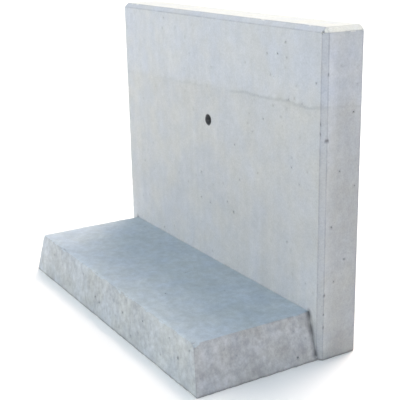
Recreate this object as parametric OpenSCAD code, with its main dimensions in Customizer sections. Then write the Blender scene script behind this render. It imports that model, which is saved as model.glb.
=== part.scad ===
// Precast reinforced concrete L-wall element: an upright wall with a drafted foot on one side.
// Millimetres, +Z up. The origin is the middle of the underside, and the foot points to -Y.

/* [Concrete] */
// Length of the wall, along X
wall_width = 990; // [600:5:1500]
// Height of the wall above the ground
wall_height = 800; // [600:5:1200]
// Thickness of the wall
wall_thickness = 120; // [100:1:180]
// How far the top of the foot reaches out from the wall
foot_reach = 325; // [240:5:600]
// Height of the foot
foot_height = 118; // [95:1:160]
// How far the top of the foot stays back from each end of the wall
foot_end_inset = 42; // [20:1:90]
// How far each end face of the foot leans out between its top and its underside
foot_end_draft = 34; // [0:1:60]
// How far the front face of the foot leans out between its top and its underside
foot_front_draft = 15; // [0:1:40]
// Width of the chamfers on the top and upright edges of the wall
edge_chamfer = 12; // [5:1:20]

/* [Handling hole] */
// Height of the hole's middle above the ground
hole_height = 515; // [380:5:620]
// Outside diameter of the plastic sleeve that lines the hole
sleeve_diameter = 32; // [20:1:50]
// Wall thickness of the sleeve
sleeve_wall = 1.8; // [1:0.1:3]

/* [Reinforcement] */
// Concrete over the outermost bars
cover = 25; // [20:1:35]
// Diameter of the bent main bars
main_bar = 8; // [6:1:10]
// Diameter of the lengthways bars and of the hairpins
light_bar = 6; // [5:1:8]
// Number of main bars on each side of the handling hole
bars_each_side = 4; // [2:1:5]
// Number of lengthways bars up each side of the wall
rail_count = 5; // [3:1:7]
// Number of lengthways bars in the top and in the bottom of the foot
foot_rail_count = 3; // [2:1:5]
// Length of the legs of the hairpins in the wall
hairpin_leg = 150; // [100:5:200]
// Length of the legs of the hairpins in the front of the foot
nose_leg = 110; // [80:5:140]
// Length over which the foot's top bars lap the bars in the back of the wall
lap_length = 200; // [120:5:260]
// Length of the bars that trim the handling hole
trimmer_length = 200; // [160:5:240]

/* [Spacers] */
// Width of the plastic wheel spacers, along their bar
spacer_width = 10; // [6:1:16]
// Thickness of a wheel spacer's rim, hub and spokes
spacer_rim = 3; // [2:0.5:5]

/* [Hidden] */
$fn = 48;
cast_gap = 0.1;   // between the concrete and each piece cast into it
cross_gap = 0.3;  // between bars that cross or lie side by side
skin = 1;         // cement skin left over a spacer's rim
eps = 1;          // overshoot of a cutting tool

foot_front_top = -(wall_thickness + foot_reach + foot_front_draft) / 2 + foot_front_draft;
foot_front_bottom = foot_front_top - foot_front_draft;
wall_front = foot_front_top + foot_reach;
wall_back = wall_front + wall_thickness;
wall_middle = (wall_front + wall_back) / 2;
foot_half_top = wall_width / 2 - foot_end_inset;

bend = 2.5 * main_bar;              // radius of a main bar's bend, at the bar's middle
light_bend = 2.5 * light_bar;
lap_shift = main_bar + cross_gap;     // sideways shift of a lapped bar
light_lap = (main_bar + light_bar) / 2 + cross_gap;

// layers, at the middle of the bars
y_front = wall_front + cover + main_bar / 2;
y_back = wall_back - cover - main_bar / 2;
y_front_rail = y_front + light_lap;
y_back_rail = y_back - light_lap;
z_bottom = cover + main_bar / 2;
z_foot_top = foot_height - cover - main_bar / 2;
z_bottom_rail = z_bottom + light_lap;
z_foot_top_rail = z_foot_top - light_lap;
z_wall_top = wall_height - cover - light_bar / 2;
y_nose = foot_front_top + cover + light_bar / 2;
x_end = wall_width / 2 - cover - light_bar / 2;
x_foot_end = foot_half_top - cover;

// the first and last main bars stand clear of the foot's end faces and of the bars lapped beside them
bar_count = 2 * bars_each_side;
bar_half_span = x_foot_end - lap_shift - main_bar;
bar_step = 2 * bar_half_span / (bar_count - 1);
bar_places = [for (i = [0 : bar_count - 1]) -bar_half_span + i * bar_step];
bay_places = [for (i = [0 : bar_count - 2]) -bar_half_span + (i + 0.5) * bar_step];

// lengthways bars: the lowest lies above the foot, the highest under the top hairpins' bends
rail_low = foot_height + 40;
rail_high = z_wall_top - light_bend - light_bar;
rail_step = (rail_high - rail_low) / (rail_count - 1);
rail_places = [for (i = [0 : rail_count - 1]) rail_low + i * rail_step];
// a bar that would meet the bars round the handling hole moves up beside them
trimmer_off = (sleeve_diameter + main_bar) / 2 + 15;
trimmer_room = trimmer_off + (main_bar + light_bar) / 2 + 5;
rails = [for (z = rail_places) abs(z - hole_height) < trimmer_room ? hole_height + trimmer_room : z];

// a diagonal bar's middle line passes this point, and reaches down and out from it
diagonal_reach = z_foot_top - z_bottom;
y_diagonal = wall_front + cover;
z_diagonal = foot_height - cover;

// lengthways bars of the foot: spread from its front to the diagonals, and one more under the wall
foot_rail_front = y_nose + light_bend + light_bar;
foot_rail_back = y_diagonal - diagonal_reach - main_bar - light_bar;
foot_rail_step = (foot_rail_back - foot_rail_front) / (foot_rail_count - 1);
foot_rails = [for (i = [0 : foot_rail_count - 1]) foot_rail_front + i * foot_rail_step, wall_middle];

// an end hairpin lies halfway between each two lengthways bars
hairpin_places = [for (i = [0 : rail_count - 2]) (rails[i] + rails[i + 1]) / 2];

// wheel spacers sit a quarter of the way from one lengthways bar to the next, where no bar lies beside theirs
spacer_radius = cover + main_bar / 2 - skin;
inner_bar = floor(bars_each_side / 2);
inner_bars = [inner_bar, bar_count - 1 - inner_bar];
outer_bars = [inner_bar - 1, bar_count - inner_bar];
lap_top = z_foot_top + bend + lap_length;
hairpin_bottom = z_wall_top - hairpin_leg;
quarter_places = [for (i = [0 : rail_count - 2]) (3 * rails[i] + rails[i + 1]) / 4];
front_rows = [for (z = quarter_places) if (z < hairpin_bottom - spacer_width) z];
back_rows = [for (z = front_rows) if (z > lap_top + spacer_width) z];
foot_row = (foot_rails[foot_rail_count - 2] + foot_rails[foot_rail_count - 1]) / 2;

// ---- shared shapes -------------------------------------------------------------------------

// A round bar from point a to point b, grown by g all round, and lengthened by g at its free ends.
module rod(a, b, d, g = 0, free_a = true, free_b = true) {
    v = b - a;
    l = norm(v);
    ga = free_a ? g : 0;
    gb = free_b ? g : 0;
    translate(a)
        rotate([0, acos(v[2] / l), atan2(v[1], v[0])])
            translate([0, 0, -ga]) cylinder(d = d + 2 * g, h = l + ga + gb);
}

// The bend between two straight legs: a quarter ring of radius r round the point c,
// from the local X axis to the local Z axis after the rotation rot.
module quarter_bend(c, rot, r, d, g = 0) {
    translate(c) rotate(rot) rotate([90, 0, 0])
        rotate_extrude(angle = 90) translate([r, 0]) circle(d = d + 2 * g);
}

// An L-shaped bar in the plane x: an upright at y = yu down from z = zt, a bend of radius r,
// and a level leg at z = zl that ends at y = ye. The level leg runs to -Y of the upright.
module l_bar(x, yu, zt, zl, ye, r, d, g = 0) {
    rod([x, yu, zl + r], [x, yu, zt], d, g, free_a = false);
    quarter_bend([x, yu - r, zl + r], [0, 90, 90], r, d, g);
    rod([x, yu - r, zl], [x, ye, zl], d, g, free_a = false);
}

// ---- concrete ------------------------------------------------------------------------------

module wall_shape() {
    c = edge_chamfer;
    w = wall_width / 2;
    intersection() {
        linear_extrude(wall_height)
            polygon([[-w + c, wall_front], [w - c, wall_front], [w, wall_front + c], [w, wall_back - c],
                     [w - c, wall_back], [-w + c, wall_back], [-w, wall_back - c], [-w, wall_front + c]]);
        // the same profile with its two top chamfers, seen from the end
        rotate([90, 0, 90]) translate([0, 0, -w]) linear_extrude(wall_width)
            polygon([[wall_front, 0], [wall_back, 0], [wall_back, wall_height - c],
                     [wall_back - c, wall_height], [wall_front + c, wall_height],
                     [wall_front, wall_height - c]]);
        // and the two top chamfers over the ends, seen from the front
        translate([0, wall_back + eps, 0]) rotate([90, 0, 0]) linear_extrude(wall_thickness + 2 * eps)
            polygon([[-w, 0], [w, 0], [w, wall_height - c], [w - c, wall_height],
                     [-w + c, wall_height], [-w, wall_height - c]]);
    }
}

module foot_shape() {
    back = wall_middle;
    bottom = foot_half_top + foot_end_draft;
    intersection() {
        // side profile, with the leaning front face
        rotate([90, 0, 90]) translate([0, 0, -bottom]) linear_extrude(2 * bottom)
            polygon([[foot_front_bottom, 0], [back, 0], [back, foot_height],
                     [foot_front_top, foot_height]]);
        // front profile, with the leaning end faces
        translate([0, back + eps, 0]) rotate([90, 0, 0])
            linear_extrude(back - foot_front_bottom + 2 * eps)
                polygon([[-bottom, 0], [bottom, 0], [foot_half_top, foot_height],
                         [-foot_half_top, foot_height]]);
    }
}

module concrete_body() {
    color("#b9bfc3") difference() {
        union() {
            wall_shape();
            foot_shape();
        }
        sleeve_hole(sleeve_diameter + 2 * cast_gap);
        front_bar_shapes(cast_gap);
        back_bar_shapes(cast_gap);
        foot_top_bar_shapes(cast_gap);
        diagonal_shapes(cast_gap);
        wall_rail_shapes(y_front_rail, cast_gap);
        wall_rail_shapes(y_back_rail, cast_gap);
        foot_rail_shapes(z_foot_top_rail, cast_gap);
        foot_rail_shapes(z_bottom_rail, cast_gap);
        top_hairpin_shapes(cast_gap);
        end_hairpin_shapes(-1, cast_gap);
        end_hairpin_shapes(1, cast_gap);
        nose_hairpin_shapes(cast_gap);
        trimmer_shapes(cast_gap);
        front_spacer_shapes(cast_gap);
        back_spacer_shapes(cast_gap);
        foot_spacer_shapes(cast_gap);
    }
}

// ---- handling hole -------------------------------------------------------------------------

module sleeve_hole(d) {
    translate([0, wall_back + eps, hole_height]) rotate([90, 0, 0])
        cylinder(d = d, h = wall_thickness + 2 * eps, $fn = 64);
}

module hole_sleeve() {
    color("#5c6064")
        translate([0, wall_back, hole_height]) rotate([90, 0, 0])
            difference() {
                cylinder(d = sleeve_diameter, h = wall_thickness, $fn = 64);
                translate([0, 0, -eps])
                    cylinder(d = sleeve_diameter - 2 * sleeve_wall, h = wall_thickness + 2 * eps,
                             $fn = 64);
            }
}

// ---- bent main bars ------------------------------------------------------------------------

// Uprights by the foot side of the wall, each with a hook to the back at its lower end.
module front_bar_shapes(g = 0) {
    for (x = bar_places)
        translate([x + lap_shift, 0, 0]) {
            rod([0, y_front, z_bottom + bend], [0, y_front, z_wall_top - light_bend], main_bar, g,
                free_a = false);
            quarter_bend([0, y_front + bend, z_bottom + bend], [0, 90, -90], bend, main_bar, g);
            rod([0, y_front + bend, z_bottom], [0, y_back, z_bottom], main_bar, g, free_a = false);
        }
}

// L-shaped bars: down the back of the wall and along the bottom of the foot.
module back_bar_shapes(g = 0) {
    for (x = bar_places)
        l_bar(x, y_back, z_wall_top - light_bend, z_bottom, y_nose + light_bend, bend, main_bar, g);
}

// L-shaped bars: along the top of the foot, through the wall and up its back.
module foot_top_bar_shapes(g = 0) {
    for (x = bar_places)
        l_bar(x - lap_shift, y_back, z_foot_top + bend + lap_length, z_foot_top,
              y_nose + light_bend, bend, main_bar, g);
}

// Straight diagonals across the inner corner, one in each bay.
module diagonal_shapes(g = 0) {
    down = diagonal_reach;
    up = diagonal_reach / 2;
    for (x = bay_places)
        rod([x, y_diagonal - down, z_diagonal - down], [x, y_diagonal + up, z_diagonal + up], main_bar, g);
}

module front_wall_bars() { color("#7a4a32") front_bar_shapes(); }
module back_wall_bars() { color("#7f4e35") back_bar_shapes(); }
module foot_top_bars() { color("#855238") foot_top_bar_shapes(); }
module corner_diagonal_bars() { color("#6f442f") diagonal_shapes(); }

// ---- lengthways bars -----------------------------------------------------------------------

module wall_rail_shapes(y, g = 0) {
    for (z = rails)
        rod([-x_end + light_bend + light_bar, y, z], [x_end - light_bend - light_bar, y, z], light_bar, g);
}

module foot_rail_shapes(z, g = 0) {
    for (y = foot_rails)
        rod([-x_foot_end, y, z], [x_foot_end, y, z], light_bar, g);
}

module front_wall_rails() { color("#8a5a3e") wall_rail_shapes(y_front_rail); }
module back_wall_rails() { color("#8a5a3e") wall_rail_shapes(y_back_rail); }
module foot_top_rails() { color("#8a5a3e") foot_rail_shapes(z_foot_top_rail); }
module foot_bottom_rails() { color("#8a5a3e") foot_rail_shapes(z_bottom_rail); }

// ---- hairpins ------------------------------------------------------------------------------

// A U-shaped bar in the local XZ plane: two legs along -X from a nose at x = 0, spread s apart.
module hairpin(s, leg, g = 0) {
    r = light_bend;
    for (k = [-1, 1]) {
        rod([-r, 0, k * s / 2], [-leg, 0, k * s / 2], light_bar, g, free_a = false);
        mirror([0, 0, k < 0 ? 1 : 0])
            quarter_bend([-r, 0, s / 2 - r], [0, 0, 0], r, light_bar, g);
    }
    rod([0, 0, -s / 2 + r], [0, 0, s / 2 - r], light_bar, g, free_a = false, free_b = false);
}

// Over the top edge of the wall, each beside a pair of upright bars.
module top_hairpin_shapes(g = 0) {
    for (x = bar_places)
        translate([x - light_lap, wall_middle, z_wall_top]) rotate([0, -90, 90])
            hairpin(y_back - y_front, hairpin_leg, g);
}

// Round the end of the wall, between the lengthways bars.
module end_hairpin_shapes(side, g = 0) {
    for (z = hairpin_places)
        translate([side * x_end, wall_middle, z]) rotate([90, 0, side > 0 ? 0 : 180])
            hairpin(y_back_rail - y_front_rail, hairpin_leg, g);
}

// Round the front edge of the foot, joining its top and bottom bars.
module nose_hairpin_shapes(g = 0) {
    for (x = bar_places)
        translate([x + light_lap, y_nose, (z_bottom + z_foot_top) / 2]) rotate([0, 0, -90])
            hairpin(z_foot_top - z_bottom, nose_leg, g);
}

module top_hairpins() { color("#93603f") top_hairpin_shapes(); }
module left_end_hairpins() { color("#93603f") end_hairpin_shapes(-1); }
module right_end_hairpins() { color("#93603f") end_hairpin_shapes(1); }
module foot_nose_hairpins() { color("#93603f") nose_hairpin_shapes(); }

// ---- bars round the handling hole ----------------------------------------------------------

// In each face of the wall, two level bars against the uprights and two uprights against those.
module trimmer_shapes(g = 0) {
    half = trimmer_length / 2;
    for (side = [-1, 1], k = [-1, 1]) {
        level = wall_middle + side * (wall_middle - y_front - lap_shift);
        upright = level - side * lap_shift;
        rod([k * trimmer_off, upright, hole_height - half],
            [k * trimmer_off, upright, hole_height + half], main_bar, g);
        rod([-half, level, hole_height + k * trimmer_off],
            [half, level, hole_height + k * trimmer_off], main_bar, g);
    }
}

module hole_trimmer_bars() { color("#6a402c") trimmer_shapes(); }

// ---- plastic wheel spacers -----------------------------------------------------------------

// A wheel clipped round a bar that lies along the local Z axis.
module wheel_spacer(g = 0) {
    hub = main_bar / 2 + spacer_rim;
    translate([0, 0, -spacer_width / 2 - g]) linear_extrude(spacer_width + 2 * g)
        difference() {
            union() {
                difference() {
                    circle(r = spacer_radius + g, $fn = 64);
                    circle(r = spacer_radius - spacer_rim - g, $fn = 64);
                }
                circle(r = hub + g, $fn = 48);
                for (a = [0 : 60 : 300])
                    rotate(a) translate([main_bar / 2, -spacer_rim / 2 - g])
                        square([spacer_radius - main_bar / 2 - spacer_rim / 2, spacer_rim + 2 * g]);
            }
            circle(r = main_bar / 2 + cross_gap - g, $fn = 48);
        }
}

module front_spacer_shapes(g = 0) {
    for (i = inner_bars, z = front_rows)
        translate([bar_places[i] + lap_shift, y_front, z]) wheel_spacer(g);
}

module back_spacer_shapes(g = 0) {
    for (i = outer_bars, z = back_rows)
        translate([bar_places[i], y_back, z]) wheel_spacer(g);
}

module foot_spacer_shapes(g = 0) {
    for (i = inner_bars)
        translate([bar_places[i] - lap_shift, foot_row, z_foot_top]) rotate([90, 0, 0])
            wheel_spacer(g);
}

module front_wheel_spacers() { color("#8f9498") front_spacer_shapes(); }
module back_wheel_spacers() { color("#8f9498") back_spacer_shapes(); }
module foot_wheel_spacers() { color("#8f9498") foot_spacer_shapes(); }

concrete_body();
hole_sleeve();
front_wall_bars();
back_wall_bars();
foot_top_bars();
corner_diagonal_bars();
front_wall_rails();
back_wall_rails();
foot_top_rails();
foot_bottom_rails();
top_hairpins();
left_end_hairpins();
right_end_hairpins();
foot_nose_hairpins();
hole_trimmer_bars();
front_wheel_spacers();
back_wheel_spacers();
foot_wheel_spacers();
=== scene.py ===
import math
import random

import bmesh
import bpy
import numpy as np
from mathutils import Euler, Matrix, Vector, noise


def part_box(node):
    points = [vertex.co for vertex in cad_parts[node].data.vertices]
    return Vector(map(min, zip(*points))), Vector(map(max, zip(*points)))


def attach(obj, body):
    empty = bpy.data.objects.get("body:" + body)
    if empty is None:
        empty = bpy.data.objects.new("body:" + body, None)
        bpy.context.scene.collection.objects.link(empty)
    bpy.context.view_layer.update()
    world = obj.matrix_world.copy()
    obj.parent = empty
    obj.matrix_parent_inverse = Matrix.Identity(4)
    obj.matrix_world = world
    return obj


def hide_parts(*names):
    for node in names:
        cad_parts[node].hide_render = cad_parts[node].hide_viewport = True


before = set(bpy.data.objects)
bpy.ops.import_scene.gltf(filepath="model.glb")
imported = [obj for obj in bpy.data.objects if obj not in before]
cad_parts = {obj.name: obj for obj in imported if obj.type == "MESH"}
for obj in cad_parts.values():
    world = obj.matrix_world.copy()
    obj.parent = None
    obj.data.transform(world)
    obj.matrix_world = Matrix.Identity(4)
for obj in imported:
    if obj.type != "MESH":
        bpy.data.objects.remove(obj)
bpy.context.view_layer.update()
mm = 0.001
near = 1 * mm      # places this near to each other count as level
scene = bpy.context.scene


# The element's own sizes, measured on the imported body, so everything below follows it
def readSizes():
    points = np.array([v.co[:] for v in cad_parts["concrete_body"].data.vertices])
    low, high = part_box("concrete_body")
    wallFront = points[points[:, 2] > 0.5 * high.z][:, 1].min()
    foot = points[points[:, 1] < wallFront - 5 * mm]
    footTop = foot[:, 2].max()
    atTop = foot[foot[:, 2] > footTop - near]
    atBottom = foot[foot[:, 2] < near]
    ends = points[np.abs(points[:, 0]) > high.x - near / 2]
    sleeveLow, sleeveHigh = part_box("hole_sleeve")
    return {
        "halfWidth": high.x,
        "wallFront": wallFront,
        "wallBack": high.y,
        "wallTop": high.z,
        "chamfer": high.z - ends[:, 2].max(),
        "footTop": footTop,
        "footHalfTop": atTop[:, 0].max(),
        "footHalfBottom": atBottom[:, 0].max(),
        "footFrontTop": atTop[:, 1].min(),
        "footFrontBottom": low.y,
        "holeCentre": (sleeveLow + sleeveHigh) / 2,
        "holeRadius": (sleeveHigh.x - sleeveLow.x) / 2,
    }


size = readSizes()
print("sizes read from the frame")


# An sRGB hex value as linear light
def linear(hexColour):
    parts = [int(hexColour[i:i + 2], 16) / 255 for i in (1, 3, 5)]
    return [p / 12.92 if p <= 0.04045 else ((p + 0.055) / 1.055) ** 2.4 for p in parts] + [1.0]


def makeObject(name, bm):
    mesh = bpy.data.meshes.new(name)
    bm.to_mesh(mesh)
    bm.free()
    piece = bpy.data.objects.new(name, mesh)
    scene.collection.objects.link(piece)
    return piece


def cutOrJoin(piece, other, operation):
    boolean = piece.modifiers.new(operation.lower(), "BOOLEAN")
    boolean.object = other
    boolean.operation = operation
    boolean.solver = "EXACT"
    graph = bpy.context.evaluated_depsgraph_get()
    mesh = bpy.data.meshes.new_from_object(piece.evaluated_get(graph))
    piece.modifiers.clear()
    piece.data = mesh
    bpy.data.objects.remove(other)


concrete = {
    "footRoot": 60 * mm,         # how far the foot's block runs into the wall before the two are joined
    "sleeveGap": 0.1 * mm,       # room between the hole's wall and the sleeve
    "drill": (300 * mm, 40),     # length of the cylinder that cuts the hole, and how many sides it has
    "cell": 7.5 * mm,            # spacing of the surface's grid
    "edgeRows": (2.5 * mm, 5 * mm),      # finer rows beside each arris
    "closest": 1.2 * mm,         # two cuts never lie nearer than this
    "waviness": 0.45 * mm,       # how unevenly the mould's faces lie
    "flattest": 0.04,            # the least share of it, so that no point is left outside the cast shape
    "waves": (170 * mm, 45 * mm),        # how long the wide and the narrow waves are
    "underside": 1.3 * mm,       # how rough the floated underside is
    "floatMarks": (38 * mm, 13 * mm),    # how long its wide and narrow marks are
    "trueRound": 30 * mm,        # the face comes back to true this near the hole
    "wallWear": (0.7 * mm, 3.5 * mm),    # depth and width of the wear on the wall's arrises
    "footWear": (1.5 * mm, 6 * mm),      # the same round the foot
    "ledgeWear": (5.2 * mm, 10 * mm),    # the same along the foot's upper front arris
    "ledgeFade": 70 * mm,        # the ledge is worn less this near its left end
    "wearPatches": (22 * mm, 9 * mm),    # how far apart deep and slight wear lie
    "wearCurve": 1.6,            # above 1 the wear gathers at the arris itself
    "rim": 2.6 * mm,             # how wide grime has settled along an arris
    "footRim": 0.7,              # how much of that grime the foot's arrises hold
    "nook": 13 * mm,             # how far the painted shade reaches out of an inner corner
    "nookPatches": 20 * mm,      # how far apart its thick and thin places lie
    "levelNookShade": 0.22,          # how much of that painted shade the level corner along the foot's top gets
    # flakes off the foot's near upper corner: how far along the ledge, scoop's radius and depth, in mm
    "cornerFlakes": ((0, 34, 7.5), (50, 22, 3.5)),
    # flakes off the wall's upright arrises: which arris, height, radius and depth in mm, how dark the
    # painted shade in its scoop is
    "flakes": (("farEnd", 700, 16, 3.0, 0.0), ("end", 546, 10, 2.4, 1.0), ("face", 788, 15, 2.6, 0.8),
               ("face", 588, 8, 1.5, 0.9), ("face", 560, 8, 1.6, 0.9), ("end", 171, 8, 1.6, 0.9),
               ("end", 122, 7, 1.4, 0.9), ("end", 87, 8, 1.6, 0.9), ("end", 700, 7, 1.3, 0.9)),
    "chips": 34,                 # small chips anywhere along the arrises
    "chipRadius": (9, 20),       # in mm
    "chipDepth": (0.8, 2.2),     # in mm
    "smoothBelow": 24,           # faces that meet at less than this many degrees shade as one
    "seed": 11,
}


def wallShape():
    bm = bmesh.new()
    bmesh.ops.create_cube(bm, size=1)
    thick = size["wallBack"] - size["wallFront"]
    middle = (0, size["wallFront"] + thick / 2, size["wallTop"] / 2)
    bmesh.ops.scale(bm, vec=(2 * size["halfWidth"], thick, size["wallTop"]), verts=bm.verts)
    bmesh.ops.translate(bm, vec=middle, verts=bm.verts)
    edges = [e for e in bm.edges if max(v.co.z for v in e.verts) > near]   # all but the bottom ones
    bmesh.ops.bevel(bm, geom=edges, offset=size["chamfer"], offset_type="OFFSET", affect="EDGES",
                    segments=1, profile=0.5, material=-1)
    return makeObject("concrete", bm)


def footShape():
    bm = bmesh.new()
    bmesh.ops.create_cube(bm, size=1)
    back = size["wallFront"] + concrete["footRoot"]
    for v in bm.verts:
        top = v.co.z > 0
        half = size["footHalfTop"] if top else size["footHalfBottom"]
        front = size["footFrontTop"] if top else size["footFrontBottom"]
        y = front if v.co.y < 0 else back
        v.co = (math.copysign(half, v.co.x), y, size["footTop"] if top else 0)
    return makeObject("footShape", bm)


def holeShape():
    bm = bmesh.new()
    place = Matrix.Translation(size["holeCentre"]) @ Matrix.Rotation(math.pi / 2, 4, "X")
    radius = size["holeRadius"] + concrete["sleeveGap"]
    length, sides = concrete["drill"]
    bmesh.ops.create_cone(bm, cap_ends=True, segments=sides, radius1=radius, radius2=radius,
                          depth=length, matrix=place)
    return makeObject("holeShape", bm)


# The arrises (outer) or the inner corners, each as two ends and the way into the concrete
def foldLines(bm, outer):
    found = []
    for e in bm.edges:
        if e.is_convex == outer and e.calc_face_angle(0) > 0.3:
            inward = -(e.link_faces[0].normal + e.link_faces[1].normal).normalized()
            found.append((e.verts[0].co.copy(), e.verts[1].co.copy(), inward))
    return found


def gridCuts(stops):
    cuts = set(stops[1:-1])
    for a, b in zip(stops, stops[1:]):
        count = max(1, round((b - a) / concrete["cell"]))
        cuts.update(a + (b - a) * i / count for i in range(1, count))
        for row in concrete["edgeRows"]:
            if b - a > 4 * row:
                cuts.update((a + row, b - row))
    kept = []
    for cut in sorted(cuts):
        if not kept or cut - kept[-1] > concrete["closest"]:
            kept.append(cut)
    return kept


def cutGrid(bm):
    s, c = size, size["chamfer"]
    stops = {
        0: [-s["halfWidth"], c - s["halfWidth"], -s["footHalfTop"],
            s["footHalfTop"], s["halfWidth"] - c, s["halfWidth"]],
        2: [0, s["footTop"], s["wallTop"] - c, s["wallTop"]],
        1: [s["footFrontBottom"], s["footFrontTop"], s["wallFront"], s["wallFront"] + c,
            s["wallBack"] - c, s["wallBack"]],
    }
    touching = 1e-6
    for axis, marks in stops.items():
        direction = Vector([float(i == axis) for i in range(3)])
        faces = [f for f in bm.faces if abs(f.normal[axis]) < 0.9]   # a face is never cut into slivers
        for cut in gridCuts(marks):
            # a dictionary keeps its order, so that every run cuts alike
            geom = list(dict.fromkeys(g for f in faces for g in (f, *f.edges, *f.verts)))
            made = bmesh.ops.bisect_plane(bm, geom=geom, dist=touching, plane_co=direction * cut,
                                          plane_no=direction)
            beyond = [g for g in made["geom"] if isinstance(g, bmesh.types.BMFace)]
            faces = [f for f in beyond if max(v.co[axis] for v in f.verts) > cut + touching]


def distanceTo(points, a, b):
    along = np.array(b - a)
    share = np.clip(((points - np.array(a)) @ along) / (along @ along), 0, 1)
    return np.linalg.norm(points - (np.array(a) + share[:, None] * along), axis=1)


def noiseOver(points, cellSize, shift=0.0):
    step = 1 / cellSize
    return np.array([noise.noise(Vector((x * step + shift, y * step, z * step)))
                     for x, y, z in points])


def onTheFoot(*places):
    return min(p.y for p in places) < size["wallFront"] - near


def wearOf(a, b):
    s = size
    if all(abs(p.z - s["footTop"]) < near and abs(p.y - s["footFrontTop"]) < near for p in (a, b)):
        return concrete["ledgeWear"]
    return concrete["footWear" if onTheFoot(a, b) else "wallWear"]


# Where flakes are missing: place, scoop's radius and depth in mm, how dark the painted shade in the
# scoop is
def listChips(lines):
    rng = random.Random(concrete["seed"])
    s = size
    arrises = {   # x and y of an upright arris
        "farEnd": (-s["halfWidth"], s["wallFront"] + s["chamfer"]),
        "end": (s["halfWidth"], s["wallFront"] + s["chamfer"]),
        "face": (s["halfWidth"] - s["chamfer"], s["wallFront"]),
    }
    chips = [((s["footHalfTop"] - x * mm, s["footFrontTop"], s["footTop"]), radius, deep, 0.0)
             for x, radius, deep in concrete["cornerFlakes"]]
    chips += [((*arrises[arris], z * mm), radius, deep, dark)
              for arris, z, radius, deep, dark in concrete["flakes"]]
    lengths = [(b - a).length for a, b, _ in lines]
    for _ in range(concrete["chips"]):
        a, b, _ = rng.choices(lines, lengths)[0]
        place = tuple(a.lerp(b, rng.random()))
        radius = rng.uniform(*concrete["chipRadius"])
        chips.append((place, radius, rng.uniform(*concrete["chipDepth"]), 0.0))
    return chips


# Moves the points inwards, and tells how worn and grimy each one is and how much painted shade each
# flaked scoop gets
def wearDown(points, normals, lines):
    wear, flakeShade, rim = (np.zeros(len(points)) for _ in range(3))
    wide, narrow = concrete["waves"]
    wave = 0.5 + 0.5 * noiseOver(points, wide) + 0.25 * noiseOver(points, narrow, 9)
    depth = concrete["waviness"] * np.clip(wave, concrete["flattest"], None)
    under = normals[:, 2] < -0.9
    wide, narrow = concrete["floatMarks"]
    rough = 0.5 + 0.6 * noiseOver(points[under], wide, 3) + 0.5 * noiseOver(points[under], narrow, 5)
    depth[under] = concrete["underside"] * np.clip(rough, 0, None)
    radial = np.hypot(points[:, 0] - size["holeCentre"].x, points[:, 2] - size["holeCentre"].z)
    depth *= np.clip((radial - size["holeRadius"]) / concrete["trueRound"], 0, 1)
    moved = points - normals * depth[:, None]
    wide, narrow = concrete["wearPatches"]
    coarse = 0.5 + 0.7 * noiseOver(points, wide, 21)
    fine = noiseOver(points, narrow, 31)
    ragged = 0.15 + 1.3 * np.clip(coarse, 0, 1.2) ** 2 + 0.5 * fine
    fromLeft = (points[:, 0] + size["footHalfTop"]) / concrete["ledgeFade"]
    for a, b, inward in lines:
        deep, across = wearOf(a, b)
        away = distanceTo(points, a, b)
        falloff = np.clip(1 - away / across, 0, 1) ** concrete["wearCurve"]
        if deep == concrete["ledgeWear"][0]:
            falloff *= np.clip(fromLeft, 0.25, 1)
        amount = deep * falloff * np.clip(ragged, 0.05, None)
        moved += np.array(inward) * amount[:, None]
        wear = np.maximum(wear, falloff * np.clip(0.35 + ragged / 2, 0, 1))
        if not onTheFoot(a, b) or abs(a.z - b.z) > 50 * mm:   # the foot's level arrises stay clean
            grime = np.clip(1 - away / concrete["rim"], 0, 1) * np.clip(0.3 + coarse, 0, 1)
            rim = np.maximum(rim, grime * (concrete["footRim"] if onTheFoot(a, b) else 1.0))
    for place, radius, deep, dark in listChips(lines):
        nearest = min(lines, key=lambda line: distanceTo(np.array([place]), line[0], line[1])[0])
        centre = np.array(place) - np.array(nearest[2]) * (radius - deep) * mm
        away = moved - centre
        reach = np.linalg.norm(away, axis=1)
        inside = reach < radius * mm
        moved[inside] = centre + away[inside] * (radius * mm / reach[inside])[:, None]
        wear[inside] = np.maximum(wear[inside], 0.8)
        # a flake marked dark gets painted shade in its scoop
        if dark:
            flakeShade[inside] = dark
    return moved, {"wear": wear, "pit": flakeShade, "rim": rim}


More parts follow.
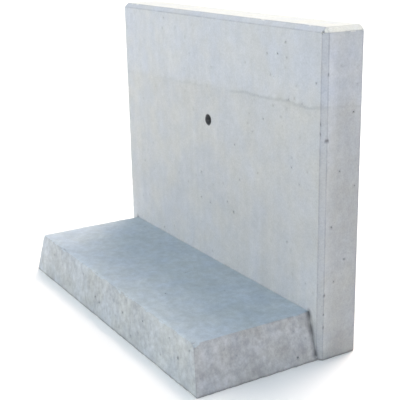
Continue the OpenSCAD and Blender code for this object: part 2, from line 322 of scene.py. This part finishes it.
# Air bubbles that the mould's faces left open
bubbles = {
    "random": ((2.2, 170), (3.0, 70), (4.2, 16), (6.2, 4)),   # diameter in mm, how many
    # the larger ones, in mm: place along the face (on the end, across it), height, diameter
    "onWall": ((351, 756, 6), (277, 724, 5.4), (292, 674, 4), (457, 675, 5.4), (-41, 359, 6),
               (236, 416, 4.4), (90, 305, 4.6), (-44, 287, 5.6), (4, 280, 4.2), (-271, 132, 6.6),
               (72, 353, 4.4), (-325, 308, 5), (-236, 771, 5.6), (300, 600, 4.2), (262, 560, 4.6),
               (-120, 640, 4), (180, 690, 4), (130, 470, 4.8), (377, 462, 4), (-380, 520, 4),
               (20, 660, 4), (210, 520, 5.2), (150, 380, 4.2)),
    "onFoot": ((392, 60, 8.4), (-63, 52, 6), (-38, 44, 6), (-150, 88, 4.4), (210, 82, 4.6),
               (310, 34, 4.4), (345, 92, 5.2), (-300, 70, 4.4), (100, 66, 4.4)),
    "onEnd": ((140, 340, 5), (196, 604, 5.2), (160, 470, 4.4), (180, 250, 4.6), (150, 200, 4),
              (205, 430, 4.2)),
    "wallShare": 0.8,      # slurry has narrowed those on the wall to this share
    "variety": (0.85, 1.15),
    "room": 5.5 * mm,      # a bubble opens only where the grid's cells are at least this long
    "slide": 2.5 * mm,     # how far a larger one may lie from its grid point
    "drift": 2.2,          # the same in mm for the random ones
    "clusters": 14,        # how many gathering places there are to a metre
    "footCrowd": 5.0,      # how much denser they are on the foot's sides
    "topCrowd": 0.2,       # and how much sparser on what was the open or trowelled top
    "depth": 0.5,          # share of the diameter
    # rings from the mouth to the bottom: share of the radius, share of the depth, how dark, painted
    # shade that deepens into the bubble
    "rings": ((1.0, 0.0, 0.25), (0.84, 0.55, 0.55), (0.45, 1.0, 0.55)),
    "raggedness": (0.88, 1.1),
    "seed": 4,
}


# Grid points that lie in unworn, flat four-cornered cells, and how readily a bubble opens at each
def flatPoints(bm, wearLayer):
    flat, weights = [], []
    for v in bm.verts:
        faces = v.link_faces
        if len(faces) != 4 or any(len(f.verts) != 4 for f in faces) or v[wearLayer] > 0.05:
            continue
        if any(f.normal.dot(v.normal) < 0.995 for f in faces):
            continue
        if min((e.other_vert(v).co - v.co).length for e in v.link_edges) < bubbles["room"]:
            continue
        flat.append(v)
        crowd = 1.0
        if onTheFoot(v.co) and abs(v.normal.z) < 0.7:
            crowd = bubbles["footCrowd"]
        elif v.normal.z > 0.7:
            crowd = bubbles["topCrowd"]
        cluster = max(0.05, noise.noise(v.co * bubbles["clusters"]) + 0.25) ** 2
        weights.append(cluster * crowd)
    return flat, weights


def placeBubbles(bm, wearLayer):
    rng = random.Random(bubbles["seed"])
    bm.verts.ensure_lookup_table()
    flat, weights = flatPoints(bm, wearLayer)
    wanted = []

    def want(place, across, axes):
        place = Vector(place)
        nearest = min(flat, key=lambda v: (v.co - place).length_squared)
        wanted.append((nearest, across, place, axes))

    for x, z, across in bubbles["onWall"]:
        want((x * mm, size["wallFront"], z * mm), bubbles["wallShare"] * across, (0, 2))
    for x, z, across in bubbles["onFoot"]:
        slope = (size["footFrontTop"] - size["footFrontBottom"]) * z * mm / size["footTop"]
        want((x * mm, size["footFrontBottom"] + slope, z * mm), across, (0, 2))
    for y, z, across in bubbles["onEnd"]:
        want((size["halfWidth"], y * mm, z * mm), across, (1, 2))
    for across, count in bubbles["random"]:
        for v in rng.choices(flat, weights, k=count):
            wanted.append((v, across * rng.uniform(*bubbles["variety"]), None, ()))
    taken, chosen = {}, []     # the faces in a dictionary, which keeps its order from run to run
    for v, across, place, axes in wanted:
        faces = list(v.link_faces)
        if any(f in taken for f in faces):
            continue
        taken.update(dict.fromkeys(faces))
        centre = v.co.copy()
        if place is None:
            sideways = v.normal.orthogonal().normalized()
            sideways.rotate(Matrix.Rotation(rng.uniform(0, math.tau), 3, v.normal))
            centre += sideways * rng.uniform(0, bubbles["drift"]) * mm
        for axis in axes:
            shift = place[axis] - centre[axis]
            centre[axis] += max(-bubbles["slide"], min(bubbles["slide"], shift))
        chosen.append({"centre": centre, "normal": v.normal.copy(), "radius": across * mm / 2,
                       "vert": v.co.copy()})
    return taken, chosen


def openBubbles(bm, wearLayer):
    taken, chosen = placeBubbles(bm, wearLayer)
    merged = bmesh.ops.dissolve_faces(bm, faces=list(taken), use_verts=True)["region"]
    pairs = []
    for face in merged:
        middle = sum((v.co for v in face.verts), Vector()) / len(face.verts)
        pit = min(chosen, key=lambda p: (p["vert"] - middle).length_squared)
        if (pit["vert"] - middle).length < 4 * mm:
            pairs.append((face, pit))
    pitLayer = bm.verts.layers.float["pit"]
    for share, deep, dark in bubbles["rings"]:
        bmesh.ops.inset_individual(bm, faces=[f for f, _ in pairs], thickness=0.1 * mm,
                                   use_even_offset=True)
        for face, pit in pairs:
            # a bubble keeps the same uneven outline from ring to ring
            jitter = random.Random(int(pit["vert"].x * 1e5) * 31 + int(pit["vert"].z * 1e5))
            stretch = jitter.uniform(0.8, 1.0)
            sink = pit["normal"] * deep * bubbles["depth"] * 2 * pit["radius"]
            for v in face.verts:
                flat = v.co - pit["centre"]
                flat -= pit["normal"] * flat.dot(pit["normal"])
                flat = flat.normalized() * pit["radius"] * share * jitter.uniform(*bubbles["raggedness"])
                flat.x *= stretch
                v.co = pit["centre"] + flat - sink
                # the ring is painted darker: painted shade inside the bubble
                v[pitLayer] = dark
    return len(pairs)


# The line where the second lift of concrete met the first
pour = {
    "left": 590 * mm,        # its height at the left end and at the right end
    "right": 622 * mm,
    "backDrop": 8 * mm,      # how much lower it lies on the back
    "waver": 8 * mm,         # how far it wanders up and down
    "wave": 120 * mm,        # over this length
    "fade": 20 * mm,
    "elsewhere": 0.12,       # how strongly it shows outside the stretches below
    "stretches": ((-500, -462, 0.7), (-161, -34, 0.5), (111, 485, 1.0), (480, 510, 0.45)),
}


def abovePour(points):
    share = (points[:, 0] / size["halfWidth"] + 1) / 2
    thick = size["wallBack"] - size["wallFront"]
    back = np.clip((points[:, 1] - size["wallFront"]) / thick, 0, 1)
    line = pour["left"] + (pour["right"] - pour["left"]) * share - pour["backDrop"] * back
    return points[:, 2] - line - pour["waver"] * noiseOver(points * [1, 1, 0], pour["wave"], 41)


def seamStrength(points):
    strength = np.full(len(points), pour["elsewhere"])
    for start, end, amount in pour["stretches"]:
        within = np.minimum(points[:, 0] - start * mm, end * mm - points[:, 0]) / pour["fade"]
        strength = np.maximum(strength, amount * np.clip(within + 0.5, 0, 1))
    return strength


# Painted shade in the inner corners: darkest beside the foot's ends, much lighter in the level corner
# along the foot's top
def paintedNookShade(points, nooks):
    nook = np.zeros(len(points))
    patches = np.clip(0.75 + 0.8 * noiseOver(points, concrete["nookPatches"], 51), 0, 1)
    for a, b, _ in nooks:
        level = abs(a.z - b.z) < near
        nookShade = np.clip(1 - distanceTo(points, a, b) / concrete["nook"], 0, 1) * patches
        nook = np.maximum(nook, nookShade * (concrete["levelNookShade"] if level else 1.0))
    return nook


def buildConcrete():
    body = wallShape()
    cutOrJoin(body, footShape(), "UNION")
    bm = bmesh.new()
    bm.from_mesh(body.data)
    bmesh.ops.dissolve_limit(bm, angle_limit=0.01, verts=bm.verts, edges=bm.edges)
    bm.normal_update()
    lines, nooks = foldLines(bm, True), foldLines(bm, False)
    cutGrid(bm)
    bm.to_mesh(body.data)
    bm.free()
    print("grid cut", len(body.data.polygons))
    cutOrJoin(body, holeShape(), "DIFFERENCE")
    mesh = body.data
    mesh.name = "concrete"
    points = np.zeros(len(mesh.vertices) * 3)
    mesh.vertices.foreach_get("co", points)
    normals = np.array([v.normal[:] for v in mesh.vertices])
    points, marks = wearDown(points.reshape(-1, 3), normals, lines)
    mesh.vertices.foreach_set("co", points.ravel())
    # nook holds the painted shade of the inner corners
    marks.update(lift=abovePour(points), seam=seamStrength(points), nook=paintedNookShade(points, nooks))
    for name, values in marks.items():
        layer = mesh.attributes.new(name, "FLOAT", "POINT")
        layer.data.foreach_set("value", values.astype(np.float32))
    mesh.update()
    print("worn down")
    bm = bmesh.new()
    bm.from_mesh(mesh)
    bm.normal_update()
    count = openBubbles(bm, bm.verts.layers.float["wear"])
    bm.to_mesh(mesh)
    bm.free()
    print("bubbles", count, "faces", len(mesh.polygons))
    mesh.polygons.foreach_set("use_smooth", [True] * len(mesh.polygons))
    mesh.set_sharp_from_angle(angle=math.radians(concrete["smoothBelow"]))
    mesh.update()
    return body


body = buildConcrete()
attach(body, "root")
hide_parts("concrete_body")


def startMaterial(name):
    material = bpy.data.materials.new(name)
    material.use_nodes = True
    material.node_tree.nodes.clear()
    return material, material.node_tree


def addNode(tree, kind, inputs=None, **settings):
    made = tree.nodes.new("ShaderNode" + kind)
    for name, value in settings.items():
        setattr(made, name, value)
    for name, value in (inputs or {}).items():
        if isinstance(value, bpy.types.NodeSocket):
            tree.links.new(value, made.inputs[name])
        else:
            made.inputs[name].default_value = value
    return made


mixFactor, mixBelow, mixAbove, mixColour = 0, 6, 7, 2   # a colour Mix node's sockets

# Precast concrete cast against oiled steel moulds: matt, cloudy pale grey, with a sandy grain, open air
# bubbles and a faint line where the second lift met the first. Each face has its own copy of the
# material: the mottle and roughness follow the finish that its side of the mould gave it, while its tint
# and lift also paint the light that face gets
concreteLook = {
    "base": "#cccfd4",
    "ior": 1.5,
    # size in mm along x, y and z, detail, where the ramp starts and ends, darker and lighter tint
    "clouds": {
        "wide": ((260, 260, 230), 2, 0.36, 0.64, "#fcfcfd", "#ffffff"),
        "hue": ((65, 65, 80), 3, 0.36, 0.64, "#fffefa", "#fafcff"),
        "patches": ((60, 60, 55), 4, 0.36, 0.64, "#fafafa", "#ffffff"),
        "streaks": ((26, 26, 420), 3, 0.36, 0.64, "#fafafb", "#ffffff"),
        "mottle": ((17, 17, 19), 4, 0.36, 0.64, "#f7f7f7", "#ffffff"),
        # coarser than sand, so that it shows
        "grain": ((4.2, 4.2, 4.2), 3, 0.34, 0.66, "#f1f2f2", "#ffffff"),
    },
    "cloudRoughness": 0.58,
    # tint, partly the face's own tone and partly painted light and shade (the chamfers and ends darker,
    # the foot's top a painted blue of skylight), how strong the mottle is, roughness from and to
    "finishesAndFaceLight": {
        "wallFace": ("#fafdff", 1.0, 0.80, 0.94),
        "wallEnd": ("#f7fbff", 1.6, 0.80, 0.94),
        "wallTop": ("#fffff5", 0.5, 0.85, 0.95),
        "topChamfer": ("#e8ecef", 0.9, 0.78, 0.92),
        "chamfer": ("#dce1e6", 0.9, 0.78, 0.92),
        "footTop": ("#ebf7ff", 2.3, 0.60, 0.80),
        "footFront": ("#eef4f7", 3.6, 0.80, 0.95),
        "footEnd": ("#f1f3f6", 4.0, 0.80, 0.95),
        "underside": ("#e9e8e4", 2.2, 0.88, 0.98),
    },
    # how much paler a face is painted than the base colour, painted light for how strongly it is lit:
    # the sunlit top most of all
    "paintedFaceLight": {"wallTop": 1.17, "footTop": 1.10, "wallFace": 1.045, "footFront": 1.09},
    # attribute, from, to, amount, tint; pit paints shade into the bubbles and flaked scoops, and nook
    # paints shade into the inner corners
    "marks": (("pit", 0.05, 1.0, 0.85, "#8f9094"), ("nook", 0.1, 0.9, 0.9, "#85898f"),
              ("rim", 0.0, 1.0, 0.36, "#b0b2b7"), ("wear", 0.3, 1.0, 0.3, "#e2e2e3")),
    # the seam along the pour line: half its width, how far the mottle pushes it, amount, tint
    "seam": (7 * mm, 12 * mm, 0.42, "#d3d6d8"),
    "dampAndShadeLean": -0.3,     # the ground damp and the painted shade at the bottom reach higher towards the back, this much to a metre
    # faces it shows on (none named means all), measure, the cloud that breaks its edge and by how many
    # metres, from and to, amount at each, whether it fades softly, tint
    "stains": (
        # the first lift is a little duller
        ((), "lift", None, 0.0, (-12 * mm, 25 * mm), (0.9, 0.0), True, "#fbf9f5"),
        # partly ground damp crept up from the underside and partly painted shade darkening the bottom,
        # most of all on the wall's ends
        (("wallFace", "chamfer", "footFront", "footEnd", "underside"),
         "dampAndShadeRise", "patches", 0.16, (72 * mm, 86 * mm), (0.25, 0.0), False, "#f1efed"),
        (("wallEnd",), "dampAndShadeRise", "patches", 0.16, (72 * mm, 86 * mm), (0.5, 0.0), False, "#f1efed"),
        # grime along the very bottom, where the element stands on the ground
        ((), "height", None, 0.0, (1 * mm, 7 * mm), (0.6, 0.0), True, "#b3afa8"),
        # painted shade darkens the ends towards the bottom, and painted light makes the wall's face
        # paler just above the foot, where the foot shades it
        (("wallEnd",), "height", None, 0.0, (0.70, 0.40), (0.0, 1.0), False, "#f0f0ef"),
        (("wallFace",), "height", None, 0.0, (0.13, 0.28), (0.0, 1.0), False, "#f1f1ef"),
        # painted light: the wall's face and the foot's front are painted paler at the left end, where
        # the light falls from, and darker towards the right
        (("wallFace",), "along", None, 0.0, (-0.45, 0.45), (0.0, 1.0), False, "#f2f3f4"),
        (("footFront",), "along", None, 0.0, (-0.45, 0.0), (0.0, 1.0), False, "#f4f5f5"),
        # painted shadow of the wall on the foot's top, darkest beside the wall, and painted light on its
        # far end, where the light comes round the wall's end
        (("footTop",), "along", "patches", 0.09, (-0.29, -0.23), (0.0, 1.0), True, "#f8f9fa"),
        (("footTop",), "across", "patches", 0.09, (-0.03, 0.01), (0.0, 1.0), True, "#f9fafb"),
        # laitance beside the chamfer is a little paler than the rest of the end
        (("wallEnd",), "across", "mottle", 0.02,
         (size["wallFront"] + 26 * mm, size["wallFront"] + 52 * mm), (0.0, 1.0), False, "#f2f1ef"),
    ),
    # fine pores between the larger bubbles, painted as dark specks that stand for the shade inside them:
    # distance apart, middle and edge as shares of it, amount, where in the mottle they start and reach
    # full strength, tint
    "pores": (17 * mm, (0.05, 0.13), 0.4, (0.5, 0.6), "#bdbfc1"),
    "relief": 0.6 * mm,
    "reliefStrength": 0.5,
}


def concreteMaterial(name):
    look = concreteLook
    tint, mottle, smooth, coarse = look["finishesAndFaceLight"][name]
    paintedPaler = look["paintedFaceLight"].get(name, 1.0)
    # the face's tint and lift paint its light and shade into the colour
    shade = [min(1.0, a * b * paintedPaler) for a, b in zip(linear(look["base"])[:3], linear(tint))] + [1.0]
    material, tree = startMaterial("precastConcreteFaceLit." + name)
    place = addNode(tree, "TexCoord").outputs["Object"]
    layers, clouds = [], {}
    for kind, (scale, detail, low, high, dark, light) in look["clouds"].items():
        pattern = addNode(tree, "Mapping", {"Vector": place, "Scale": [1000 / s for s in scale]})
        clouds[kind] = addNode(tree, "TexNoise", {
            "Vector": pattern.outputs[0], "Scale": 1.0, "Detail": detail,
            "Roughness": look["cloudRoughness"]}).outputs["Fac"]
        ramp = addNode(tree, "ValToRGB", {"Fac": clouds[kind]})
        for stop, at, colour in zip(ramp.color_ramp.elements, (low, high), (dark, light)):
            stop.position = at
            stop.color = linear(colour)
        strength = mottle if kind in ("mottle", "patches") else 1.0
        times = math.ceil(strength)     # a strength over 1 is laid on in several coats
        layers += [(strength / times, ramp.outputs["Color"])] * times
    for attribute, start, end, amount, colour in look["marks"]:
        mark = addNode(tree, "Attribute", attribute_name=attribute).outputs["Fac"]
        where = addNode(tree, "MapRange", {"Value": mark, "From Min": start, "From Max": end,
                                           "To Max": amount})
        layers.append((where.outputs[0], linear(colour)))
    # the pour line: a thin dark seam that breaks up
    half, wander, amount, colour = look["seam"]
    lift = addNode(tree, "Attribute", attribute_name="lift").outputs["Fac"]
    waver = addNode(tree, "Math", {0: clouds["mottle"], 1: wander, 2: -wander / 2},
                    operation="MULTIPLY_ADD")
    line = addNode(tree, "Math", {0: lift, 1: waver.outputs[0]}, operation="ADD")
    away = addNode(tree, "Math", {0: line.outputs[0]}, operation="ABSOLUTE")
    seam = addNode(tree, "MapRange", {"Value": away.outputs[0], "From Max": half, "To Min": amount,
                                      "To Max": 0.0}, interpolation_type="SMOOTHSTEP")
    broken = addNode(tree, "Attribute", attribute_name="seam").outputs["Fac"]
    seamHere = addNode(tree, "Math", {0: seam.outputs[0], 1: broken}, operation="MULTIPLY")
    layers.append((seamHere.outputs[0], linear(colour)))
    parted = addNode(tree, "SeparateXYZ", {0: place})
    # height that the damp and the painted shade at the bottom climb to
    dampAndShadeRise = addNode(tree, "Math", {0: parted.outputs["Y"], 1: look["dampAndShadeLean"], 2: parted.outputs["Z"]},
                    operation="MULTIPLY_ADD")
    measures = {"along": parted.outputs["X"], "across": parted.outputs["Y"],
                "height": parted.outputs["Z"], "dampAndShadeRise": dampAndShadeRise.outputs[0], "lift": line.outputs[0]}
    for faces, measure, cloud, wander, (start, end), (first, last), soft, colour in look["stains"]:
        if faces and name not in faces:
            continue
        where = measures[measure]
        if wander:
            where = addNode(tree, "Math", {0: clouds[cloud], 1: wander, 2: where},
                            operation="MULTIPLY_ADD").outputs[0]
        stain = addNode(tree, "MapRange", {"Value": where, "From Min": start, "From Max": end,
                                           "To Min": first, "To Max": last},
                        interpolation_type="SMOOTHSTEP" if soft else "LINEAR")
        layers.append((stain.outputs[0], linear(colour)))
    # the pores are painted dark, painted shade, and they also sink in the bump
    apart, (middle, edge), amount, (few, many), colour = look["pores"]
    cells = addNode(tree, "TexVoronoi", {"Vector": place, "Scale": 1 / apart, "Randomness": 1.0})
    pore = addNode(tree, "MapRange", {"Value": cells.outputs["Distance"], "From Min": middle,
                                      "From Max": edge, "To Min": amount, "To Max": 0.0})
    some = addNode(tree, "MapRange", {"Value": clouds["mottle"], "From Min": few, "From Max": many})
    pores = addNode(tree, "Math", {0: pore.outputs[0], 1: some.outputs[0]}, operation="MULTIPLY")
    layers.append((pores.outputs[0], linear(colour)))
    for where, colour in layers:
        shade = addNode(tree, "Mix", {mixFactor: where, mixBelow: shade, mixAbove: colour},
                        data_type="RGBA", blend_type="MULTIPLY").outputs[mixColour]
    rough = addNode(tree, "MapRange", {"Value": clouds["mottle"], "From Min": 0.3, "From Max": 0.7,
                                       "To Min": smooth, "To Max": coarse})
    relief = addNode(tree, "Math", {0: clouds["grain"], 1: pores.outputs[0]}, operation="SUBTRACT")
    bump = addNode(tree, "Bump", {"Height": relief.outputs[0], "Strength": look["reliefStrength"],
                                  "Distance": look["relief"]})
    shader = addNode(tree, "BsdfPrincipled", {"Base Color": shade, "Roughness": rough.outputs[0],
                                              "IOR": look["ior"], "Normal": bump.outputs[0]})
    addNode(tree, "OutputMaterial", {"Surface": shader.outputs[0]})
    return material


# A face's finish and painted light, told from where it lies and how far it leans
def finishOf(face):
    n = face.normal
    if n.z < -0.7:
        return "underside"
    if n.z > 0.85:
        return "footTop" if face.center.z < size["wallTop"] / 2 else "wallTop"
    if onTheFoot(face.center):
        return "footEnd" if abs(n.x) > 0.7 else "footTop" if n.z > 0.6 else "footFront"
    if n.z > 0.3:
        return "wallTop" if abs(n.x) > 0.3 else "topChamfer"
    return "wallEnd" if abs(n.x) > 0.88 else "wallFace" if abs(n.y) > 0.88 else "chamfer"


finishNames = list(concreteLook["finishesAndFaceLight"])
for finish in finishNames:
    body.data.materials.append(concreteMaterial(finish))
for face in body.data.polygons:
    face.material_index = finishNames.index(finishOf(face))
print("concrete finished")

# Hot-rolled ribbed bar: dark mill scale under an orange-brown bloom of rust, with the rolled ribs
# standing out
ribbedBar = {
    "scale": "#3d3a39",
    "oldRust": "#5e3625",
    "freshRust": "#95562f",
    "rustFrom": (0.56, 0.68, 0.84),   # where in the pattern scale, old rust and fresh rust lie
    "bloom": 16 * mm,
    "speck": 2.2 * mm,
    "speckShare": 0.35,
    "roughness": (0.5, 0.92),         # from scale to rust
    "roughFrom": 0.75,                # where in the pattern it is at its roughest
    "metallic": 0.85,                 # the scale only
    "ribPitch": 7 * mm,
    "ribHeight": 0.6 * mm,
    "ribEdge": (0.62, 0.9),           # where a rib starts and where it is full
}


def ribbedBarMaterial():
    bar = ribbedBar
    scaleAt, oldAt, freshAt = bar["rustFrom"]
    material, tree = startMaterial("ribbedBarSteel")
    place = addNode(tree, "TexCoord").outputs["Object"]
    bloom = addNode(tree, "TexNoise", {"Vector": place, "Scale": 1 / bar["bloom"], "Detail": 5.0,
                                       "Roughness": 0.6})
    speck = addNode(tree, "TexNoise", {"Vector": place, "Scale": 1 / bar["speck"], "Detail": 3.0})
    rust = addNode(tree, "Math", {0: speck.outputs["Fac"], 1: bar["speckShare"],
                                  2: bloom.outputs["Fac"]}, operation="MULTIPLY_ADD")
    ramp = addNode(tree, "ValToRGB", {"Fac": rust.outputs[0]})
    ramp.color_ramp.elements.new(oldAt)
    for stop, at, colour in zip(ramp.color_ramp.elements, bar["rustFrom"],
                                ("scale", "oldRust", "freshRust")):
        stop.position = at
        stop.color = linear(bar[colour])
    rough = addNode(tree, "MapRange", {"Value": rust.outputs[0], "From Min": scaleAt,
                                       "From Max": bar["roughFrom"], "To Min": bar["roughness"][0],
                                       "To Max": bar["roughness"][1]})
    metal = addNode(tree, "MapRange", {"Value": rust.outputs[0], "From Min": scaleAt, "From Max": oldAt,
                                       "To Min": bar["metallic"], "To Max": 0.0})
    # the bands cross a bar whichever way it runs
    ribs = addNode(tree, "TexWave", {"Vector": place, "Scale": math.tau / (10 * bar["ribPitch"]),
                                     "Distortion": 0.6, "Detail": 1.0}, bands_direction="DIAGONAL")
    crest = addNode(tree, "MapRange", {"Value": ribs.outputs["Fac"], "From Min": bar["ribEdge"][0],
                                       "From Max": bar["ribEdge"][1]}, interpolation_type="SMOOTHSTEP")
    relief = addNode(tree, "Math", {0: speck.outputs["Fac"], 1: 0.25, 2: crest.outputs[0]},
                     operation="MULTIPLY_ADD")
    bump = addNode(tree, "Bump", {"Height": relief.outputs[0], "Strength": 0.9,
                                  "Distance": bar["ribHeight"]})
    shader = addNode(tree, "BsdfPrincipled", {
        "Base Color": ramp.outputs["Color"], "Roughness": rough.outputs[0],
        "Metallic": metal.outputs[0], "Normal": bump.outputs[0]})
    addNode(tree, "OutputMaterial", {"Surface": shader.outputs[0]})
    return material


# Injection-moulded polypropylene: a fine even grain with a low sheen, and cement haze where grout has
# dried on it
mouldedPlastic = {
    # its own colour, the haze's colour, how much haze
    "kinds": {"hole_sleeve": ("#53575a", "#8d9091", 0.55), "spacers": ("#7f8487", "#b3b5b4", 0.35)},
    "haze": 9 * mm,
    "hazeEdge": (0.42, 0.68),
    "grain": 1.1 * mm,
    "grainDepth": 0.15 * mm,
    "roughness": (0.42, 0.85),    # from clean to hazy
    "ior": 1.49,
}


def mouldedPlasticMaterial(name):
    look = mouldedPlastic
    plain, dusty, amount = look["kinds"][name]
    material, tree = startMaterial("mouldedPolypropylene." + name)
    place = addNode(tree, "TexCoord").outputs["Object"]
    haze = addNode(tree, "TexNoise", {"Vector": place, "Scale": 1 / look["haze"], "Detail": 5.0,
                                      "Roughness": 0.62})
    grain = addNode(tree, "TexNoise", {"Vector": place, "Scale": 1 / look["grain"], "Detail": 2.0})
    dust = addNode(tree, "MapRange", {"Value": haze.outputs["Fac"], "From Min": look["hazeEdge"][0],
                                      "From Max": look["hazeEdge"][1], "To Max": amount})
    colour = addNode(tree, "Mix", {mixFactor: dust.outputs[0], mixBelow: linear(plain),
                                   mixAbove: linear(dusty)}, data_type="RGBA")
    rough = addNode(tree, "MapRange", {"Value": haze.outputs["Fac"], "From Min": 0.4, "From Max": 0.7,
                                       "To Min": look["roughness"][0], "To Max": look["roughness"][1]})
    bump = addNode(tree, "Bump", {"Height": grain.outputs["Fac"], "Strength": 0.35,
                                  "Distance": look["grainDepth"]})
    shader = addNode(tree, "BsdfPrincipled", {
        "Base Color": colour.outputs[mixColour], "IOR": look["ior"],
        "Roughness": rough.outputs[0], "Normal": bump.outputs[0]})
    addNode(tree, "OutputMaterial", {"Surface": shader.outputs[0]})
    return material


steel = ribbedBarMaterial()
sleevePlastic = mouldedPlasticMaterial("hole_sleeve")
spacerPlastic = mouldedPlasticMaterial("spacers")
for name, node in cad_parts.items():
    if name != "concrete_body":
        made = sleevePlastic if name == "hole_sleeve" else spacerPlastic if "spacers" in name else steel
        for slot in node.material_slots:
            slot.material = made
print("sleeve, bars and spacers finished")

# A white studio floor that sweeps up far away from the element
studio = {
    "flat": (2.0, 6.0, 14.0),    # rings of the level part, in metres, the last one where the bend starts
    "sweep": 3.0,                # radius of the bend
    "bendSteps": 8,
    "rise": 6.0,                 # height of the wall behind it
    "turns": 64,
    "floor": "#f6f6f5",
    "glow": "#fffdfa",
    "glowFrom": (13.0, 15.0),    # how far out the backlight starts and is full
    "backlight": 0.2,
    "sky": ("#dcecff", 0.56),
    # power, colour, then softness, azimuth and elevation in degrees
    "suns": {"key": (2.98, "#ffebde", 30, -30, 58), "fill": (2.04, "#fafffb", 90, -165, 25)},
}


def buildFloor():
    bm = bmesh.new()
    sweep, steps = studio["sweep"], studio["bendSteps"]
    angles = [math.pi / 2 * i / steps for i in range(steps + 1)]
    bend = [(studio["flat"][-1] + sweep * math.sin(a), sweep * (1 - math.cos(a))) for a in angles]
    level = [(out, 0.0) for out in (0.0, *studio["flat"][:-1])]
    outline = [*level, *bend, (bend[-1][0], studio["rise"])]
    verts = [bm.verts.new((x, 0, z)) for x, z in outline]
    edges = [bm.edges.new(pair) for pair in zip(verts, verts[1:])]
    bmesh.ops.spin(bm, geom=verts + edges, cent=(0, 0, 0), axis=(0, 0, 1), steps=studio["turns"],
                   angle=math.tau, use_merge=True)
    bmesh.ops.remove_doubles(bm, verts=bm.verts, dist=mm)
    bmesh.ops.recalc_face_normals(bm, faces=bm.faces)
    floor = makeObject("floor", bm)
    floor.data.polygons.foreach_set("use_smooth", [True] * len(floor.data.polygons))
    return floor


def floorMaterial():
    material, tree = startMaterial("mattWhitePaint")
    # the far sweep is lit from behind, so that it stays white all round
    place = addNode(tree, "TexCoord").outputs["Object"]
    away = addNode(tree, "VectorMath", {0: place}, operation="LENGTH")
    start, full = studio["glowFrom"]
    glow = addNode(tree, "MapRange", {"Value": away.outputs["Value"], "From Min": start,
                                      "From Max": full, "To Max": studio["backlight"]})
    shader = addNode(tree, "BsdfPrincipled", {
        "Base Color": linear(studio["floor"]), "Roughness": 0.9,
        "Emission Color": linear(studio["glow"]), "Emission Strength": glow.outputs[0]})
    addNode(tree, "OutputMaterial", {"Surface": shader.outputs[0]})
    return material


floor = buildFloor()
floor.data.materials.append(floorMaterial())


def addSun(name, power, colour, softness, azimuth, elevation):
    light = bpy.data.lights.new(name, "SUN")
    light.energy = power
    light.color = linear(colour)[:3]
    light.angle = math.radians(softness)
    lamp = bpy.data.objects.new(name, light)
    scene.collection.objects.link(lamp)
    a, e = math.radians(azimuth), math.radians(elevation)
    lamp.location = Vector((math.sin(a) * math.cos(e), math.cos(a) * math.cos(e), math.sin(e))) * 8
    lamp.rotation_mode = "QUATERNION"
    lamp.rotation_quaternion = (-lamp.location).to_track_quat("-Z", "Y")


def lightStudio():
    for name, sun in studio["suns"].items():
        addSun(name, *sun)
    world = bpy.data.worlds.new("sky")
    scene.world = world
    world.use_nodes = True
    background = world.node_tree.nodes["Background"]
    colour, strength = studio["sky"]
    background.inputs["Color"].default_value = linear(colour)
    background.inputs["Strength"].default_value = strength
    scene.view_settings.view_transform = "Standard"


lightStudio()

# The camera stands in front and to the right, above the foot. It looks about 17 degrees down and is
# rolled by about one degree
view = {
    "place": (2.0179, -1.1185, 1.0028),
    "turn": (73.1556, 1.1544, 58.9668),   # degrees about x, y and z
    "lens": 79.6,
    "sensor": 36,
}


def placeCamera():
    data = bpy.data.cameras.new("camera")
    data.lens = view["lens"]
    data.sensor_width = view["sensor"]
    camera = bpy.data.objects.new("camera", data)
    scene.collection.objects.link(camera)
    turn = Euler([math.radians(a) for a in view["turn"]]).to_matrix()
    camera.matrix_world = Matrix.Translation(view["place"]) @ turn.to_4x4()
    scene.camera = camera


placeCamera()
print("floor, lights and camera placed")
